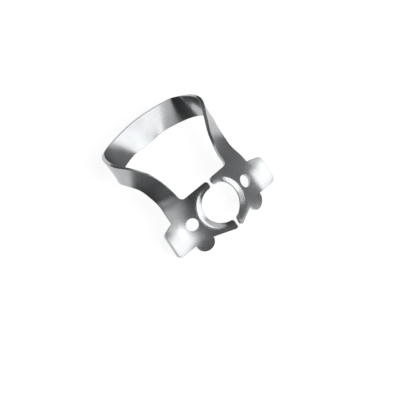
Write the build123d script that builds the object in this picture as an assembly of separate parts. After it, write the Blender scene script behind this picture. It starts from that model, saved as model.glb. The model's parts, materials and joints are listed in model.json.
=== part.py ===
"""Winged rubber dam clamp: one piece of spring steel sheet, punched and folded.

Millimetres and degrees. The clamp is shaped in its own frame: X is lateral, Y points back to the
bow, and Z points from the crown of the bow to the prongs, with the origin midway between the two
forceps holes. It is then laid down as it comes to rest, prongs up, on the front edge of its bow
and its two front lobes.
"""

import os
from math import asin, cos, degrees, radians, sin, sqrt, tan

from build123d import *

# Driving dimensions: sheet and forceps holes, with the metal left between hole and bevelled rim
SHEET = 0.65
HOLE_DIAMETER = 2.3
HOLE_WEB = 0.8

# Jaw section, seen from the front: the plate, then the wing beyond its bend
PLATE_SLOPE = 22.0
WING_SLOPE = 19.5
WING_BEND_X = 9.3
WING_BEND_RADIUS = 1.0
ARCH_RADIUS = 18.9

# Jaw outline, seen from above: depths reach forward or back from the tooth opening's rim, and
# the heel and the lobe are set off from the forceps hole
OPENING_RADIUS = 3.45
OPENING_CENTRE_X = 0.75
BEVEL_WIDTH = 0.8
BEVEL_DEPTH = 0.45
PRONG_GAP = 0.15
PRONG_CORNER_RADIUS = 0.35
BACK_PRONG_DEPTH = 1.45
BACK_HEEL_DEPTH = 1.0
HEEL_RADIUS = 0.9
FRONT_PRONG_DEPTH = 1.73
FRONT_TIP_WIDTH = 0.55
KNEE_RADIUS = 1.0
FRONT_HEEL_DEPTH = 0.58
FRONT_HEEL_OFFSET = 1.81
LOBE_DEPTH = 0.47
LOBE_OFFSET = 0.14
LOBE_RADIUS = 1.71
WING_X = 11.7
WING_FRONT_DEPTH = 0.09
WING_BACK_Y = 1.6
WING_ROOT_Y = 2.27
WING_BACK_X = 9.62
WING_CORNER_RADIUS = 0.8
NOTCH_RADIUS = 0.35
ARM_STUB = 1.55
ARM_INNER_X = 5.88
ARM_OUTER_X = 9.10
SHEET_OVERHANG = 1.0

# Bow: half its span, its reach behind the holes and its drop below them
BOW_HALF_SPAN = 10.6
BOW_REACH = 18.9
BOW_DEPTH = 10.6

# Stations of the strip from the jaw to the middle of the crown, as shares of the half span, the
# reach and the drop: its inner or back edge, then its outer or front edge, both on the face that
# is turned to the prongs
STATIONS = (
    ((0.565, 0.423, 0.065), (0.852, 0.381, 0.217)),
    ((0.629, 0.532, 0.090), (0.878, 0.468, 0.261)),
    ((0.725, 0.633, 0.128), (0.917, 0.541, 0.320)),
    ((0.816, 0.706, 0.187), (0.958, 0.585, 0.384)),
    ((0.911, 0.772, 0.260), (0.993, 0.624, 0.456)),
    ((0.989, 0.824, 0.377), (1.005, 0.651, 0.558)),
    ((1.003, 0.869, 0.524), (0.978, 0.669, 0.666)),
    ((0.906, 0.923, 0.840), (0.821, 0.696, 0.820)),
    ((0.511, 0.971, 0.995), (0.338, 0.744, 1.007)),
    ((0.000, 0.996, 0.990), (0.000, 0.745, 1.005)),
)

BACK_PRONG_Y = OPENING_RADIUS + BACK_PRONG_DEPTH
BACK_HEEL_Y = OPENING_RADIUS + BACK_HEEL_DEPTH
FRONT_PRONG_Y = -OPENING_RADIUS - FRONT_PRONG_DEPTH
ARM_ROOT_Y = BACK_HEEL_Y + ARM_STUB
PLATE_RISE = tan(radians(PLATE_SLOPE))
PLATE_COS = cos(radians(PLATE_SLOPE))
RIM_TO_HOLE = BEVEL_WIDTH + HOLE_WEB + HOLE_DIAMETER / 2
HOLE_X = OPENING_CENTRE_X + (OPENING_RADIUS + RIM_TO_HOLE) * PLATE_COS
FRONT_HEEL = (HOLE_X - FRONT_HEEL_OFFSET, -OPENING_RADIUS - FRONT_HEEL_DEPTH)
LOBE_CENTRE = (HOLE_X - LOBE_OFFSET, -OPENING_RADIUS - LOBE_DEPTH)
WING_FRONT_Y = -OPENING_RADIUS - WING_FRONT_DEPTH
PLATE_FRAME = Plane(
    origin=(HOLE_X, 0, 0),
    x_dir=(PLATE_COS, 0, -sin(radians(PLATE_SLOPE))),
    z_dir=(sin(radians(PLATE_SLOPE)), 0, PLATE_COS),
)
ARCH_AXIS = Axis((0, 0, -ARCH_RADIUS), (1, 0, 0))


def plate_height(x):
    """Height of the plate's upper face at lateral place x."""
    return (HOLE_X - x) * PLATE_RISE


def jaw_sheet():
    """The bent and arched sheet that the right jaw is cut from."""
    end_x = WING_X + SHEET_OVERHANG
    bend_z = plate_height(WING_BEND_X)
    end_z = bend_z + (end_x - WING_BEND_X) * tan(radians(WING_SLOPE))
    upper = FilletPolyline(
        (0, plate_height(0)), (WING_BEND_X, bend_z), (end_x, end_z), radius=WING_BEND_RADIUS
    )
    bands = [make_face(offset(upper, SHEET, side=side)) for side in (Side.LEFT, Side.RIGHT)]
    section = Plane.XZ * min(bands, key=lambda band: band.center().Y)
    back = degrees(asin(ARM_ROOT_Y / ARCH_RADIUS))
    front = degrees(asin((LOBE_RADIUS - LOBE_CENTRE[1] + SHEET_OVERHANG) / ARCH_RADIUS))
    return revolve(section.rotate(ARCH_AXIS, -back), ARCH_AXIS, back + front)


def on_plate(x, y):
    """A point seen from above, as a point in the plate's own plane."""
    return ((x - HOLE_X) / PLATE_COS, y)


def plate_outline():
    """The plate, its prongs and its lobe, with the tooth opening cut out."""
    ridge_radius = ARCH_RADIUS + plate_height(0)
    tip_drop = ridge_radius - sqrt(ridge_radius**2 - FRONT_PRONG_Y**2)
    tip_x = PRONG_GAP / 2 + (SHEET + tip_drop) * sin(radians(PLATE_SLOPE))
    wall_x = ARM_OUTER_X + NOTCH_RADIUS
    corners = (
        (tip_x, FRONT_PRONG_Y / 2, 0),
        (tip_x, FRONT_PRONG_Y, PRONG_CORNER_RADIUS),
        (tip_x + FRONT_TIP_WIDTH, FRONT_PRONG_Y, KNEE_RADIUS),
        (*FRONT_HEEL, 0),
        (LOBE_CENTRE[0], LOBE_CENTRE[1], 0),
        (LOBE_CENTRE[0], WING_FRONT_Y, 0),
        (wall_x, WING_FRONT_Y, 0),
        (wall_x, WING_ROOT_Y, 0),
        (ARM_OUTER_X, WING_ROOT_Y, NOTCH_RADIUS),
        (ARM_OUTER_X, ARM_ROOT_Y + SHEET_OVERHANG, 0),
        (ARM_INNER_X, ARM_ROOT_Y + SHEET_OVERHANG, 0),
        (ARM_INNER_X, BACK_HEEL_Y, HEEL_RADIUS),
        (tip_x, BACK_PRONG_Y, PRONG_CORNER_RADIUS),
        (tip_x, BACK_PRONG_Y / 2, 0),
    )
    edge = FilletPolyline(
        *[on_plate(x, y) for x, y, _ in corners],
        radius=[r for _, _, r in corners],
        close=True,
    )
    lobe = Pos(*on_plate(*LOBE_CENTRE)) * Circle(LOBE_RADIUS)
    opening = Pos(*on_plate(OPENING_CENTRE_X, 0)) * Circle(OPENING_RADIUS)
    return make_face(edge) + lobe - opening


def wing_outline():
    """The wing, seen from above, with its outer corners rounded."""
    root_x = ARM_OUTER_X - NOTCH_RADIUS
    edge = FilletPolyline(
        (root_x, WING_FRONT_Y),
        (WING_X, WING_FRONT_Y),
        (WING_X, WING_BACK_Y),
        (WING_BACK_X, WING_ROOT_Y),
        (root_x, WING_ROOT_Y),
        radius=[0, WING_CORNER_RADIUS, WING_CORNER_RADIUS, 0, 0],
        close=True,
    )
    return make_face(edge)


def jaw():
    """The right jaw: plate, prongs, lobe and wing, with the forceps hole and the bevelled rim."""
    cut_depth = ARCH_RADIUS / 4
    plate_cutter = extrude(PLATE_FRAME * plate_outline(), cut_depth, both=True)
    wing_cutter = extrude(wing_outline(), cut_depth, both=True)
    solid = jaw_sheet() & (plate_cutter + wing_cutter)
    solid -= PLATE_FRAME * Cylinder(HOLE_DIAMETER / 2, cut_depth)
    rim = max(solid.faces().filter_by(GeomType.CYLINDER), key=lambda face: face.radius)
    upper_edge = max(rim.edges().sort_by(SortBy.LENGTH)[-2:], key=lambda edge: edge.center().Z)
    return solid.solid().chamfer(BEVEL_DEPTH, BEVEL_WIDTH, [upper_edge], rim)


def at_share(share):
    """A point of the strip from its shares of the bow's half span, reach and drop."""
    return Vector(share[0] * BOW_HALF_SPAN, share[1] * BOW_REACH, -share[2] * BOW_DEPTH)


def centre_of(section):
    """The middle of a section's four corners."""
    return sum(section, Vector()) / 4


def strip_sections(root):
    """Corners of the strip's sections, from the jaw's root face to the middle of the crown."""
    corners = sorted((Vector(*vertex) for vertex in root.vertices()), key=lambda corner: corner.X)
    inner = sorted(corners[:2], key=lambda corner: -corner.Z)
    outer = sorted(corners[2:], key=lambda corner: -corner.Z)
    edges = [(inner[0], outer[0])] + [(at_share(back), at_share(front)) for back, front in STATIONS]
    edges.append([Vector(-edge.X, edge.Y, edge.Z) for edge in edges[-2]])
    sections = [[inner[0], outer[0], outer[1], inner[1]]]
    for before, (back, front), after in zip(edges, edges[1:], edges[2:]):
        along = sum(after, Vector()) - sum(before, Vector())
        inward = along.cross(front - back).normalized() * SHEET
        sections.append([back, front, front + inward, back + inward])
    return sections


def strip_faces(root, towards_bow):
    """The long faces of one arm and half the bow, ruled between curves along their corners."""
    sections = strip_sections(root)
    places = [0.0]
    for before, after in zip(sections, sections[1:]):
        places.append(places[-1] + (centre_of(after) - centre_of(before)).length)
    ends = [towards_bow, Vector(-1, 0, 0)]
    curves = [
        Edge.make_spline(list(line), ends, parameters=places, scale=False)
        for line in zip(*sections)
    ]
    return [Face.make_surface_from_curves(a, b) for a, b in zip(curves, curves[1:] + curves[:1])]


def clamp():
    """Both jaws and the strip between them, sewn into one sheet metal piece."""
    right = jaw()
    lean = asin(ARM_ROOT_Y / ARCH_RADIUS)
    towards_bow = Vector(0, cos(lean), -sin(lean))
    root = max(right.faces(), key=lambda face: face.normal_at().dot(towards_bow))
    half = [face for face in right.faces() if face != root] + strip_faces(root, towards_bow)
    return Solid(Shell(half + [face.mirror(Plane.YZ) for face in half]))


def lowest(faces, tilt):
    """Height of the faces' lowest point once they are tilted about the lateral axis."""
    return Compound(faces).rotate(Axis.X, tilt).bounding_box().min.Z


def laid_down(solid):
    """The clamp at rest: tilted until its bow and its lobes touch the same level surface."""
    bow = [face for face in solid.faces() if face.bounding_box().min.Z < -BOW_DEPTH / 2]
    jaws = [face for face in solid.faces() if face not in bow]
    low, high = 0.0, 60.0
    for _ in range(20):
        tilt = (low + high) / 2
        if lowest(bow, tilt) < lowest(jaws, tilt):
            low = tilt
        else:
            high = tilt
    tilted = solid.rotate(Axis.X, tilt)
    box = tilted.bounding_box()
    return tilted.translate((-box.center().X, -box.center().Y, -box.min.Z))


os.makedirs("parts", exist_ok=True)
export_step(laid_down(clamp()), "parts/clamp.step")
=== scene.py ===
import json
import math

import bmesh
import bpy
import numpy as np
from mathutils import Matrix, Vector
from mathutils.geometry import delaunay_2d_cdt


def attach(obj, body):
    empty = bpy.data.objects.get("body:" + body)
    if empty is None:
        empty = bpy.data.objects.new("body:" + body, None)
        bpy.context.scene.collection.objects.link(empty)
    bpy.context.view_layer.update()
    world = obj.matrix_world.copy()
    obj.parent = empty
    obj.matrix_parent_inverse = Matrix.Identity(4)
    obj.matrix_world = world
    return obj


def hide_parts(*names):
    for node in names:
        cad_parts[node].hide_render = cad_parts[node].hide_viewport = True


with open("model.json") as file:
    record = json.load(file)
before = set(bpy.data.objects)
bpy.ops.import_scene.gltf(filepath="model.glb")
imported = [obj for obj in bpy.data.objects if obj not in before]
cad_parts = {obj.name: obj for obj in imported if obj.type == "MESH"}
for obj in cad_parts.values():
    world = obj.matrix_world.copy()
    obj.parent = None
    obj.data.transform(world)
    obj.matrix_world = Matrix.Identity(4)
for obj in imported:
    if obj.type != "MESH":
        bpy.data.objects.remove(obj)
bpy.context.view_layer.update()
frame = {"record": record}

# Camera
# The clamp is shot down onto its prongs with a long lens, from the front left, and turned in the
# picture so that its bow is at the upper left. The middle of its forceps holes fixes the framing.
MM = 0.001
hole = next(m for m in frame["record"]["mounts"] if m["name"] == "right_forceps_hole")
hole_axis = Vector(hole["axis"]).normalized()
hole_top = Vector(hole["pos_m"]) - hole_axis * hole["dims"]["length_mm"] * MM / 2
holes_middle = Vector((0.0, hole_top.y, hole_top.z))
to_camera = Vector((-0.386, -0.2069, 0.899)).normalized()
picture_right = Vector((0.5908, 0.6930, 0.4132)).cross(to_camera).normalized()
picture_up = to_camera.cross(picture_right)
PICTURE_SIDE = 400.0
PIXELS_PER_METRE = 5750.0
HOLES_MIDDLE_PIXEL = (219.03, 202.8)
CAMERA_DISTANCE = 0.5

right_of_centre = (HOLES_MIDDLE_PIXEL[0] - PICTURE_SIDE / 2) / PIXELS_PER_METRE
below_centre = (HOLES_MIDDLE_PIXEL[1] - PICTURE_SIDE / 2) / PIXELS_PER_METRE
aim = holes_middle - picture_right * right_of_centre + picture_up * below_centre
lens = bpy.data.cameras.new("camera")
lens.sensor_width = 36.0
lens.lens = lens.sensor_width * CAMERA_DISTANCE * PIXELS_PER_METRE / PICTURE_SIDE
lens.clip_start = 0.01
lens.clip_end = 10.0
camera = bpy.data.objects.new("camera", lens)
bpy.context.scene.collection.objects.link(camera)
turn = Matrix((picture_right, picture_up, to_camera)).transposed().to_4x4()
camera.matrix_world = Matrix.Translation(aim + to_camera * CAMERA_DISTANCE) @ turn
bpy.context.scene.camera = camera
bpy.context.scene.view_settings.view_transform = "Standard"


# Steel
# Spring steel sheet, tumbled after it is punched and bent: a satin skin with a fine grain, and
# faint clouds where it is a little darker and smoother.
class Value:
    """A shader socket that takes part in plain Python arithmetic."""

    def __init__(self, nodes, socket):
        self.nodes = nodes
        self.socket = socket

    def maths(self, operation, first, second):
        return self.nodes.node("ShaderNodeMath", {"operation": operation}, [first, second])

    def __add__(self, other):
        return self.maths("ADD", self, other)

    def __mul__(self, other):
        return self.maths("MULTIPLY", self, other)

    __radd__ = __add__


class Nodes:
    """The node tree of one material or of the world."""

    def __init__(self, tree):
        self.tree = tree
        tree.nodes.clear()

    def node(self, kind, settings=None, values=None, output=0):
        """Adds a node, sets it, feeds its sockets and gives one of its outputs."""
        node = self.tree.nodes.new(kind)
        for name, setting in (settings or {}).items():
            if name == "stops":
                ramp = node.color_ramp.elements
                while len(ramp) < len(setting):
                    ramp.new(1.0)
                for stop, (place, shade) in zip(ramp, setting):
                    stop.position = place
                    stop.color = shade
            else:
                setattr(node, name, setting)
        given = values.items() if isinstance(values, dict) else enumerate(values or [])
        for name, value in given:
            if isinstance(value, Value):
                self.tree.links.new(value.socket, node.inputs[name])
            else:
                node.inputs[name].default_value = value
        return Value(self, node.outputs[output]) if node.outputs else None


GRAIN_SCALE = 9000.0
CLOUD_SCALE = 420.0
SMOOTHEST = 0.175
GRAIN_ROUGHNESS = 0.05
CLOUD_ROUGHNESS = 0.06
GRAIN_DEPTH = 0.01 * MM
DARKER_STEEL = (0.44, 0.45, 0.46, 1.0)
LIGHTER_STEEL = (0.49, 0.5, 0.505, 1.0)

steel = bpy.data.materials.new("tumbled_steel")
steel.use_nodes = True
n = Nodes(steel.node_tree)
place = n.node("ShaderNodeTexCoord", output="Object")
grain = n.node("ShaderNodeTexNoise", {}, {"Vector": place, "Scale": GRAIN_SCALE, "Detail": 3.0})
cloud = n.node("ShaderNodeTexNoise", {}, {"Vector": place, "Scale": CLOUD_SCALE, "Detail": 2.0})
shades = [(0.3, DARKER_STEEL), (0.7, LIGHTER_STEEL)]
shade = n.node("ShaderNodeValToRGB", {"stops": shades}, {"Fac": cloud})
rough = SMOOTHEST + grain * GRAIN_ROUGHNESS + cloud * CLOUD_ROUGHNESS
bump = {"Strength": 0.1, "Distance": GRAIN_DEPTH, "Height": grain}
relief = n.node("ShaderNodeBump", {}, bump)
skin = n.node(
    "ShaderNodeBsdfPrincipled",
    {},
    {"Base Color": shade, "Metallic": 1.0, "Roughness": rough, "Normal": relief},
)
n.node("ShaderNodeOutputMaterial", {}, {"Surface": skin})

# Jaw sheet
# The right jaw is spring sheet bent up softly along the wing, dished a little at the opening and
# arched over the tooth; towards the arm it runs out flat. All in millimetres, in the clamp's own
# frame: X lateral, Y back to the bow, Z the way the prongs point.
SHEET = hole["dims"]["length_mm"]
HOLE_RADIUS = hole["dims"]["r_mm"]
HOLE_X = hole_top.x / MM
PLATE_SLOPE = math.asin(-hole_axis.x)
WING_SLOPE = math.radians(15)
WING_BEND_X = 9.68
WING_BEND_SOFTNESS = 1.02
DISH_X = 4.6
DISH_SOFTNESS = 0.8
DISH_SLOPE = 0.155
FLAT_BEND_SOFTNESS = 0.2
BEND_FADE_Y = (3.2, 9.0)
ARCH_RADIUS = 18.9
ARM_ROOT_Y = 6.0
SOLVER_ROUNDS = 12
root_lean = math.asin(ARM_ROOT_Y / ARCH_RADIUS)
plate_sin, plate_cos = math.sin(PLATE_SLOPE), math.cos(PLATE_SLOPE)
wing_sin, wing_cos = math.sin(WING_SLOPE), math.cos(WING_SLOPE)
plate_slope, wing_slope = plate_sin / plate_cos, wing_sin / wing_cos


def soft_bend(x, softness):
    """A bend at x = 0 from level to a slope of one, and its slope."""
    place = x / softness
    return softness * np.logaddexp(0.0, place), 1 / (1 + np.exp(-place))


def section(x, y):
    """Height and unit normal of the bent sheet's upper face, seen from the front."""
    fade = np.clip((y - BEND_FADE_Y[0]) / (BEND_FADE_Y[1] - BEND_FADE_Y[0]), 0, 1)
    fade = fade**2 * (3 - 2 * fade)
    softness = WING_BEND_SOFTNESS + (FLAT_BEND_SOFTNESS - WING_BEND_SOFTNESS) * fade
    dish = DISH_SLOPE * (1 - fade)
    plate = plate_slope - dish / 2
    wing_rise, wing_part = soft_bend(x - WING_BEND_X, softness)
    dish_rise, dish_part = soft_bend(DISH_X - x, DISH_SOFTNESS)
    height = (HOLE_X - x) * plate + (plate + wing_slope) * wing_rise + dish * dish_rise
    slope = -plate + (plate + wing_slope) * wing_part - dish * dish_part
    length = np.sqrt(1 + slope**2)
    return height, -slope / length, 1 / length


def from_above(x, y):
    """Points and normals of the arched upper face over points of the plan."""
    height, normal_x, normal_z = section(x, y)
    radius = ARCH_RADIUS + height
    lean = y / radius
    upright = np.sqrt(1 - lean**2)
    points = np.stack([x, y, radius * upright - ARCH_RADIUS], axis=-1)
    normals = np.stack([normal_x, normal_z * lean, normal_z * upright], axis=-1)
    return points, normals


def flattened(points):
    """Where points of the clamp fall on the plane of the plate, which has the hole as its origin."""
    across = (points[..., 0] - HOLE_X) * plate_cos - points[..., 2] * plate_sin
    return np.stack([across, points[..., 1]], axis=-1)


def on_sheet(flat):
    """Points and normals of the upper face over points of the plate's plane."""
    x = HOLE_X + flat[..., 0] * plate_cos
    for _ in range(SOLVER_ROUNDS):
        points, normals = from_above(x, flat[..., 1])
        x = x + (flat[..., 0] - flattened(points)[..., 0]) / plate_cos
    return from_above(x, flat[..., 1])


def at_root(across):
    """The point of the plate's plane where the arm's root crosses this place."""
    x = HOLE_X + across * plate_cos
    for _ in range(SOLVER_ROUNDS):
        radius = ARCH_RADIUS + section(x, ARM_ROOT_Y)[0]
        height = radius * math.cos(root_lean) - ARCH_RADIUS
        x = x + across / plate_cos - ((x - HOLE_X) * plate_cos - height * plate_sin) / plate_cos
    return np.array([across, radius * math.sin(root_lean)])


# Jaw outline
# The outline is punched: two prongs with rounded tips, a lobe, the wing and the arm's root, with
# the tooth opening between the prongs. It is drawn on the plane of the plate.
SPACING = 0.3
SHORTEST_RUN = SPACING / 6
CURVE_SPACING = 0.12
OPENING_RADIUS = 3.45
OPENING_CENTRE_X = 0.75
BEVEL_WIDTH = 0.8
BEVEL_DEPTH = 0.45
PRONG_GAP = 0.15
BACK_TIP_RADIUS = 0.6
FRONT_TIP_RADIUS = 0.42
RIM_TIP_RADIUS = 0.6
RIM_TIP_SPAN = 0.74
BACK_PRONG_Y = OPENING_RADIUS + 1.45
BACK_HEEL_Y = OPENING_RADIUS + 1.0
HEEL_RADIUS = 0.9
FRONT_PRONG_Y = -OPENING_RADIUS - 1.73
FRONT_TIP_WIDTH = 0.55
KNEE_RADIUS = 1.0
FRONT_HEEL = (HOLE_X - 1.81, -OPENING_RADIUS - 0.58)
LOBE_CENTRE = (HOLE_X - 0.14, -OPENING_RADIUS - 0.47)
LOBE_RADIUS = 1.71
WING_X = 11.7
WING_FRONT_Y = -OPENING_RADIUS - 0.09
WING_BACK_Y = 1.6
WING_ROOT_Y = 2.27
WING_BACK_X = 9.62
WING_CORNER_RADIUS = 0.8
NOTCH_RADIUS = 0.35
ARM_INNER_X = 5.88
ARM_OUTER_X = 9.10


def drawn(x, y):
    """A place given from above, drawn on the plane of the plate."""
    return np.array([(x - HOLE_X) / plate_cos, y])


def arc(centre, radius, start, end, spacing=CURVE_SPACING):
    """Evenly spaced points of an arc, from one angle to the other."""
    steps = max(2, math.ceil(abs(end - start) * radius / spacing))
    angles = np.linspace(start, end, steps + 1)
    return centre + radius * np.stack([np.cos(angles), np.sin(angles)], axis=-1)


def rounded(corners):
    """An open line through corners given as place and radius, with its corners rounded."""
    line = [corners[0][0]]
    for (before, _), (corner, radius), (after, _) in zip(corners, corners[1:], corners[2:]):
        if not radius:
            line.append(corner)
            continue
        back = (before - corner) / np.linalg.norm(before - corner)
        ahead = (after - corner) / np.linalg.norm(after - corner)
        half = math.acos(float(back @ ahead)) / 2
        middle = (back + ahead) / np.linalg.norm(back + ahead)
        centre = corner + middle * radius / math.sin(half)
        first = corner + back * radius / math.tan(half) - centre
        last = corner + ahead * radius / math.tan(half) - centre
        start = math.atan2(first[1], first[0])
        turn = (math.atan2(last[1], last[0]) - start + math.pi) % math.tau - math.pi
        line.extend(arc(centre, radius, start, start + turn))
    line.append(corners[-1][0])
    return line


def divided(line):
    """The same line, with its long runs divided evenly and its tiny ones left out."""
    points = [line[0]]
    for end in line[1:]:
        start = points[-1]
        length = np.linalg.norm(end - start)
        if length < SHORTEST_RUN:
            continue
        steps = math.ceil(length / SPACING)
        points.extend(start + (end - start) * step / steps for step in range(1, steps + 1))
    return points


ridge_radius = ARCH_RADIUS + HOLE_X * plate_sin / plate_cos
tip_drop = ridge_radius - math.sqrt(ridge_radius**2 - FRONT_PRONG_Y**2)
tip_x = PRONG_GAP / 2 + (SHEET + tip_drop) * plate_sin
tip = drawn(tip_x, 0)[0]
inner, outer = drawn(ARM_INNER_X, 0)[0], drawn(ARM_OUTER_X, 0)[0]
opening = drawn(OPENING_CENTRE_X, 0)
lobe = drawn(*LOBE_CENTRE)
opening_end = math.acos((tip - opening[0]) / OPENING_RADIUS)
bevel_end = math.acos((tip - opening[0]) / (OPENING_RADIUS + BEVEL_WIDTH))
opening_y = OPENING_RADIUS * math.sin(opening_end)
rim_end = opening_end - RIM_TIP_SPAN / OPENING_RADIUS
opening_arc = arc(opening, OPENING_RADIUS, rim_end, -rim_end)
back_part = rounded(
    [
        (at_root(inner), 0),
        (np.array([inner, BACK_HEEL_Y]), HEEL_RADIUS),
        (np.array([tip, BACK_PRONG_Y]), BACK_TIP_RADIUS),
        (np.array([tip, opening_y]), RIM_TIP_RADIUS),
        (opening_arc[0], 0),
    ]
)
heel = drawn(*FRONT_HEEL)
lobe_start = math.atan2(heel[1] - lobe[1], heel[0] - lobe[0])
lobe_end = math.asin((WING_FRONT_Y - lobe[1]) / LOBE_RADIUS)
front_part = rounded(
    [
        (opening_arc[-1], 0),
        (np.array([tip, -opening_y]), RIM_TIP_RADIUS),
        (np.array([tip, FRONT_PRONG_Y]), FRONT_TIP_RADIUS),
        (drawn(tip_x + FRONT_TIP_WIDTH, FRONT_PRONG_Y), KNEE_RADIUS),
        (heel, 0),
        (lobe + LOBE_RADIUS * np.array([math.cos(lobe_start), math.sin(lobe_start)]), 0),
    ]
)
wing_line = divided(
    rounded(
        [
            (np.array([ARM_OUTER_X + NOTCH_RADIUS, WING_FRONT_Y]), 0),
            (np.array([WING_X, WING_FRONT_Y]), WING_CORNER_RADIUS),
            (np.array([WING_X, WING_BACK_Y]), WING_CORNER_RADIUS),
            (np.array([WING_BACK_X, WING_ROOT_Y]), 0),
        ]
    )
)
wing_plan = np.array(wing_line)
wing_part = list(flattened(from_above(wing_plan[:, 0], wing_plan[:, 1])[0]))
arm_part = rounded(
    [
        (wing_part[-1], 0),
        (np.array([outer, WING_ROOT_Y]), NOTCH_RADIUS / 2),
        (at_root(outer), 0),
    ]
)
outline = np.array(
    divided(
        back_part[:-1]
        + list(opening_arc)
        + front_part[1:-1]
        + list(arc(lobe, LOBE_RADIUS, lobe_start, lobe_end))
        + wing_part
        + arm_part[1:]
    )
)
hole_line = arc(np.zeros(2), HOLE_RADIUS, 0.0, -math.tau)[:-1]

# Jaw mesh
# The upper face is filled with small triangles inside a band of even squares, which the rounding
# of the edges later takes its width from. Around the opening it slopes down as the ground bevel.
EDGE_BAND = 0.14
BEVEL_SOFTNESS = 0.15
BEVEL_FADE = (math.radians(55), math.radians(95))
BEVEL_AT_TIP = 0.35
BAND_SHARE = 0.04
STRIP_COLUMNS = 12
ROOT_SWELL = 0.01
CREASE_REACHES = (0.3, 0.46, 0.62, 0.72, 0.8, 0.88, 0.98)
CREASE_SPACING = 0.2
CREASE_CLEARANCE = 0.06
GRID_ROW_SHARE = 0.87
GRID_CLEARANCE = SPACING * 0.55
FILL_TOLERANCE = 1e-7
across_shares = np.concatenate(
    [[0.0], np.linspace(BAND_SHARE, 1 - BAND_SHARE, STRIP_COLUMNS - 1), [1.0]]
)


def inset(line, distance, closed):
    """The line moved to its left, which is into the metal."""
    along = np.diff(line, axis=0, append=line[:1])
    along /= np.linalg.norm(along, axis=1)[:, None]
    left = np.stack([-along[:, 1], along[:, 0]], axis=-1)
    before = np.roll(left, 1, axis=0)
    if not closed:
        before[0], left[-1] = left[0], before[-1]
    return line + distance * (before + left) / (1 + (before * left).sum(axis=1))[:, None]


def inside(points, loop):
    """Which of the points lie inside the loop."""
    ends = np.roll(loop, -1, axis=0)
    x, y = points[:, :1], points[:, 1:]
    crosses = (loop[:, 1] > y) != (ends[:, 1] > y)
    rise = np.where(ends[:, 1] == loop[:, 1], 1.0, ends[:, 1] - loop[:, 1])
    reach = loop[:, 0] + (y - loop[:, 1]) / rise * (ends[:, 0] - loop[:, 0])
    return (crosses & (x < reach)).sum(axis=1) % 2 == 1


def nearest(points, others):
    """How far each point is from the nearest of the others."""
    return np.linalg.norm(points[:, None] - others[None], axis=2).min(axis=1)


def sewn(loop):
    """Pairs of neighbours around a loop of vertices."""
    return zip(loop, loop[1:] + loop[:1])


def on_metal_side(face, middle_in_metal, edges):
    """Whether a triangle is metal: one on a loop's edge by its side of it, others by their middle."""
    sides = set(sewn(face))
    if any((last, first) in sides for first, last in edges):
        return False
    return middle_in_metal or any(side in sides for side in edges)


band = inset(outline, EDGE_BAND, False)
band[0] = outline[0] + (outline[-1] - outline[0]) * BAND_SHARE
band[-1] = outline[-1] + (outline[0] - outline[-1]) * BAND_SHARE
root_inside = outline[-1] + (outline[0] - outline[-1]) * across_shares[2:-2, None]
root_inside[:, 1] += ROOT_SWELL * across_shares[2:-2] * (1 - across_shares[2:-2])
hole_band = inset(hole_line, EDGE_BAND, True)
fill_loop = np.concatenate([band, root_inside])
crease_rows = []
for reach in CREASE_REACHES:
    row = arc(opening, OPENING_RADIUS + reach, bevel_end, -bevel_end, CREASE_SPACING)
    crease_rows.append(row[nearest(row, fill_loop) > CREASE_CLEARANCE])
rows = np.concatenate(crease_rows)
rows = rows[inside(rows, fill_loop)]
low, high = outline.min(axis=0), outline.max(axis=0)
columns = np.arange(low[0], high[0], SPACING)
lines = np.arange(low[1], high[1], SPACING * GRID_ROW_SHARE)
grid = np.array(
    [(x + SPACING / 2 * (index % 2), y) for index, y in enumerate(lines) for x in columns]
)
grid = grid[inside(grid, fill_loop) & ~inside(grid, hole_band)]
fixed = np.concatenate([fill_loop, hole_band, rows])
grid = grid[nearest(grid, fixed) > GRID_CLEARANCE]
flat = np.concatenate([fill_loop, hole_band, rows, grid])
loops = [(0, len(fill_loop)), (len(fill_loop), len(fill_loop) + len(hole_band))]
edges = [
    (index, index + 1 if index + 1 < end else start)
    for start, end in loops
    for index in range(start, end)
]
filled = delaunay_2d_cdt([Vector(p) for p in flat], edges, [], 0, FILL_TOLERANCE)
faces, origins = filled[2], filled[3]
triangles = np.array([[origins[corner][0] for corner in face] for face in faces])
middles = flat[triangles].mean(axis=1)
in_metal = inside(middles, fill_loop) & ~inside(middles, hole_band)
triangles = [
    face for face, metal in zip(triangles.tolist(), in_metal) if on_metal_side(face, metal, edges)
]


def facing(flat):
    """Points of the upper face with the ground bevel, and of the lower face under them."""
    points, normals = on_sheet(flat)
    past_rim = (np.linalg.norm(flat - opening, axis=1) - OPENING_RADIUS) / BEVEL_WIDTH
    softness = BEVEL_SOFTNESS / BEVEL_WIDTH
    slope = softness * np.logaddexp(0.0, (1 - past_rim) / softness)
    turned = np.abs(np.arctan2(flat[:, 1], flat[:, 0] - opening[0]))
    fade = np.clip((turned - BEVEL_FADE[0]) / (BEVEL_FADE[1] - BEVEL_FADE[0]), 0, 1)
    depth = BEVEL_DEPTH * slope * (1 - (1 - BEVEL_AT_TIP) * fade)
    return points - normals * depth[:, None], points - normals * SHEET


jaw_flat = np.concatenate([flat, outline, hole_line])
upper, lower = facing(jaw_flat)
band_ids = list(range(len(band)))
root_ids = list(range(len(band), len(fill_loop)))
hole_band_ids = list(range(len(fill_loop), len(fill_loop) + len(hole_band)))
outline_ids = list(range(len(flat), len(flat) + len(outline)))
hole_ids = list(range(len(flat) + len(outline), len(jaw_flat)))
upper_faces = [tuple(corners) for corners in triangles]
closed_hole, closed_hole_band = hole_ids + hole_ids[:1], hole_band_ids + hole_band_ids[:1]
for edge, inner_row in ((outline_ids, band_ids), (closed_hole, closed_hole_band)):
    for first, last, inner_first, inner_last in zip(edge, edge[1:], inner_row, inner_row[1:]):
        upper_faces.append((first, last, inner_last, inner_first))
walls = list(zip(outline_ids, outline_ids[1:])) + list(sewn(hole_ids))

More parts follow.
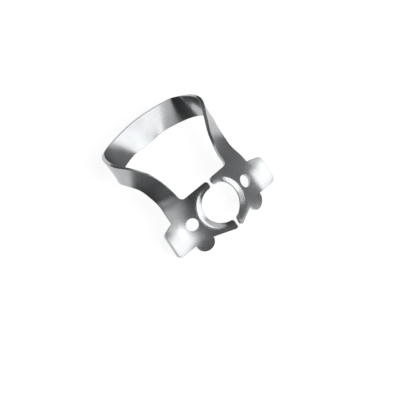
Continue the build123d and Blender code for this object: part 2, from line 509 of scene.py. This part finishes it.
# Strip
# Both arms and the bow are one strip. It leaves the plate flat, twists through a quarter turn on
# its way back and crosses over as a hoop, in sections ruled between two smooth edges.
BOW_HALF_SPAN = 10.6
BOW_REACH = 18.9
BOW_DEPTH = 10.6
STRIP_ROWS = 150
# Each station: the inner edge, then the outer, as shares of the half span, the reach and the depth
STATIONS = (
    ((0.565, 0.423, 0.065), (0.852, 0.381, 0.200)),
    ((0.629, 0.532, 0.090), (0.878, 0.468, 0.254)),
    ((0.725, 0.633, 0.128), (0.917, 0.541, 0.320)),
    ((0.816, 0.706, 0.187), (0.958, 0.585, 0.384)),
    ((0.911, 0.772, 0.260), (0.993, 0.624, 0.456)),
    ((0.989, 0.824, 0.377), (1.005, 0.651, 0.558)),
    ((1.003, 0.869, 0.524), (0.978, 0.669, 0.666)),
    ((0.906, 0.923, 0.840), (0.821, 0.696, 0.820)),
    ((0.511, 0.977, 0.995), (0.338, 0.744, 1.007)),
    ((0.000, 1.002, 0.990), (0.000, 0.745, 1.005)),
)


def smooth_line(knots, stations, start, end, places):
    """Places and slopes along the cubic curve through stations with these slopes at its ends."""
    count = len(knots)
    gaps = np.diff(knots)
    steps = np.diff(stations, axis=0) / gaps[:, None]
    system = np.zeros((count, count))
    wanted = np.zeros((count, 3))
    system[0, 0] = system[-1, -1] = 1.0
    wanted[0], wanted[-1] = start, end
    for row in range(1, count - 1):
        before, after = gaps[row - 1], gaps[row]
        system[row, row - 1 : row + 2] = after, 2 * (before + after), before
        wanted[row] = 3 * (after * steps[row - 1] + before * steps[row])
    slopes = np.linalg.solve(system, wanted)
    index = np.clip(np.searchsorted(knots, places, side="right") - 1, 0, count - 2)
    gap = gaps[index][:, None]
    share = (places[:, None] - knots[index][:, None]) / gap
    first, last = stations[index], stations[index + 1]
    pull, push = slopes[index] * gap, slopes[index + 1] * gap
    points = (
        first * (1 + 2 * share) * (1 - share) ** 2
        + pull * share * (1 - share) ** 2
        + last * share**2 * (3 - 2 * share)
        + push * share**2 * (share - 1)
    )
    along = (
        (last - first) * 6 * share * (1 - share)
        + pull * (1 - share) * (1 - 3 * share)
        + push * share * (3 * share - 2)
    ) / gap
    return points, along


bow_size = np.array([BOW_HALF_SPAN, BOW_REACH, -BOW_DEPTH])
root_ends = upper[[outline_ids[0], outline_ids[-1]]]
edges_at = np.concatenate([root_ends[None], np.array(STATIONS) * bow_size])
centres = edges_at.mean(axis=1)
knots = np.concatenate([[0.0], np.cumsum(np.linalg.norm(np.diff(centres, axis=0), axis=1))])
places = np.linspace(0, knots[-1], STRIP_ROWS + 1)[1:]
towards_bow = (0.0, math.cos(root_lean), -math.sin(root_lean))
inner_edge, inner_slope = smooth_line(knots, edges_at[:, 0], towards_bow, (-1, 0, 0), places)
outer_edge, outer_slope = smooth_line(knots, edges_at[:, 1], towards_bow, (-1, 0, 0), places)
share = across_shares[None, :, None]
strip_upper = inner_edge[:, None] * (1 - share) + outer_edge[:, None] * share
along = inner_slope[:, None] * (1 - share) + outer_slope[:, None] * share
normals = np.cross(np.broadcast_to((outer_edge - inner_edge)[:, None], along.shape), along)
normals /= np.linalg.norm(normals, axis=2)[:, :, None]
strip_lower = strip_upper - normals * SHEET
root_row = [outline_ids[0], band_ids[0]] + root_ids[::-1] + [band_ids[-1], outline_ids[-1]]
strip_start = len(jaw_flat)
rows_of_ids = [root_row] + [
    list(range(strip_start + row * len(root_row), strip_start + (row + 1) * len(root_row)))
    for row in range(STRIP_ROWS)
]
for near, far in zip(rows_of_ids, rows_of_ids[1:]):
    upper_faces.extend(zip(near, near[1:], far[1:], far))
    walls.append((far[0], near[0]))
    walls.append((near[-1], far[-1]))

# Clamp
# One folded piece. The two halves mirror each other and meet in the middle of the bow, and the
# edges that the punch left are rounded over by tumbling. It is laid down prongs up.
EDGE_ROUNDING = 0.09 * MM
ROUNDING_STEPS = 3
SHARP_EDGE = math.radians(42)
SEAM_Y = 7.0
SEAM_REACH = 2.4
SEAM_STEPS = 60
SEAM_PULL = 0.5
upper_points = np.concatenate([upper, strip_upper.reshape(-1, 3)])
lower_points = np.concatenate([lower, strip_lower.reshape(-1, 3)])
rims = {frozenset(wall) for wall in walls}
rim_ids = set().union(*rims)
pairs = {pair for face in upper_faces for pair in sewn(list(face))}
pairs |= {(last, first) for first, last in pairs}
pairs = [pair for pair in pairs if pair[0] not in rim_ids or frozenset(pair) in rims]
taker, giver = np.array(sorted(pairs)).T
counts = np.maximum(np.bincount(taker, minlength=len(upper_points)), 1)[:, None]
near_seam = np.clip(1 - np.abs(upper_points[:, 1:2] - SEAM_Y) / SEAM_REACH, 0, 1)
pull = SEAM_PULL * near_seam * (upper_points[:, :1] > ARM_INNER_X - HEEL_RADIUS)


def eased(points):
    """The same points, with the seam between the plate and the strip drawn smooth."""
    for _ in range(SEAM_STEPS):
        sums = np.zeros_like(points)
        np.add.at(sums, taker, points[giver])
        points = points + pull * (sums / counts - points)
    return points


upper_points = eased(upper_points)
lower_points = eased(lower_points)
half_points = np.concatenate([upper_points, lower_points])
below = len(upper_points)
half_faces = upper_faces + [tuple(below + corner for corner in face[::-1]) for face in upper_faces]
half_faces += [(last, first, below + first, below + last) for first, last in walls]
other = half_points * (-1, 1, 1)
crown = set(rows_of_ids[-1]) | {below + corner for corner in rows_of_ids[-1]}
half_count = len(half_points)
twins = [corner if corner in crown else half_count + corner for corner in range(half_count)]
other_faces = [tuple(twins[corner] for corner in face[::-1]) for face in half_faces]
tilt = math.atan2(hole_axis.y, -hole_axis.z)
laid_down = np.array(
    [[1, 0, 0], [0, math.cos(tilt), -math.sin(tilt)], [0, math.sin(tilt), math.cos(tilt)]]
)
points = np.concatenate([half_points, other]) @ laid_down.T * MM + np.array(holes_middle)
mesh = bpy.data.meshes.new("clamp_steel")
mesh.from_pydata(points.tolist(), [], half_faces + other_faces)
shape = bmesh.new()
shape.from_mesh(mesh)
bmesh.ops.delete(shape, geom=[v for v in shape.verts if not v.link_faces], context="VERTS")
shape.to_mesh(mesh)
shape.free()
mesh.materials.append(steel)
mesh.shade_smooth()
piece = bpy.data.objects.new("clamp_steel", mesh)
bpy.context.scene.collection.objects.link(piece)
rounding = piece.modifiers.new("tumbled_edges", "BEVEL")
rounding.width = EDGE_ROUNDING
rounding.segments = ROUNDING_STEPS
rounding.limit_method = "ANGLE"
rounding.angle_limit = SHARP_EDGE
rounding.harden_normals = True
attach(piece, "root")
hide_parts("clamp")

# Floor
# A plain white board under the clamp. It takes a soft shadow, and to the camera and to the steel
# its own paleness is made up to white.
FLOOR_SIDE = 0.8
FLOOR_COLOUR = 0.45
FLOOR_GLOW = 0.85
half = FLOOR_SIDE / 2
corners = [(-half, -half, 0), (half, -half, 0), (half, half, 0), (-half, half, 0)]
floor_mesh = bpy.data.meshes.new("floor")
floor_mesh.from_pydata(corners, [], [(0, 1, 2, 3)])
floor = bpy.data.objects.new("floor", floor_mesh)
bpy.context.scene.collection.objects.link(floor)
board = bpy.data.materials.new("white_board")
board.use_nodes = True
n = Nodes(board.node_tree)
seen = n.node("ShaderNodeLightPath", output="Is Camera Ray")
mirrored = n.node("ShaderNodeLightPath", output="Is Glossy Ray")
refracted = n.node("ShaderNodeLightPath", output="Is Transmission Ray")
matte = n.node("ShaderNodeBsdfDiffuse", {}, {"Color": (FLOOR_COLOUR,) * 3 + (1.0,)})
glow = n.node("ShaderNodeEmission", {}, {"Strength": (seen + mirrored + refracted) * FLOOR_GLOW})
both = n.node("ShaderNodeAddShader", {}, [matte, glow])
n.node("ShaderNodeOutputMaterial", {}, {"Surface": both})
floor_mesh.materials.append(board)

# Light
# A dim studio whose gray tones change from the front left to the back right, with one large soft
# light slanting in front and a dimmer card overhead.
BACK_RIGHT = (0.589, 0.799, -0.119)
TONES = ((0.0, 0.18), (0.3, 0.01), (0.5, 0.24), (0.65, 0.26), (0.8, 0.18), (1.0, 0.06))
BLUENESS = 1.02
LIGHT_DISTANCE = 0.5

world = bpy.data.worlds.new("studio")
bpy.context.scene.world = world
world.use_nodes = True
n = Nodes(world.node_tree)
way = n.node("ShaderNodeTexCoord", output="Generated")
toward = n.node("ShaderNodeVectorMath", {"operation": "DOT_PRODUCT"}, [way, BACK_RIGHT], "Value")
stops = [(stop, (tone, tone, tone * BLUENESS, 1.0)) for stop, tone in TONES]
level = n.node("ShaderNodeValToRGB", {"stops": stops}, {"Fac": toward * 0.5 + 0.5})
glow = n.node("ShaderNodeBackground", {}, {"Color": level, "Strength": 1.0})
n.node("ShaderNodeOutputWorld", {}, {"Surface": glow})


def soft_light(name, azimuth, elevation, width, height, level, roll=0.0):
    """A rectangular light that faces the clamp; angles in degrees, level as its brightness."""
    turn, rise = math.radians(azimuth), math.radians(elevation)
    way = Vector((math.cos(rise) * math.cos(turn), math.cos(rise) * math.sin(turn), math.sin(rise)))
    lamp = bpy.data.lights.new(name, "AREA")
    lamp.shape = "RECTANGLE"
    lamp.size = 2 * LIGHT_DISTANCE * math.tan(math.radians(width / 2))
    lamp.size_y = 2 * LIGHT_DISTANCE * math.tan(math.radians(height / 2))
    lamp.energy = level * math.pi * lamp.size * lamp.size_y
    light = bpy.data.objects.new(name, lamp)
    light.location = way * LIGHT_DISTANCE
    rolled = way.to_track_quat("Z", "Y").to_matrix() @ Matrix.Rotation(math.radians(roll), 3, "Z")
    light.rotation_euler = rolled.to_euler()
    bpy.context.scene.collection.objects.link(light)


soft_light("front_softbox", azimuth=-66, elevation=39.5, width=54, height=26, level=2.2, roll=-28)
soft_light("overhead_card", azimuth=-64, elevation=71, width=42, height=40, level=0.8)
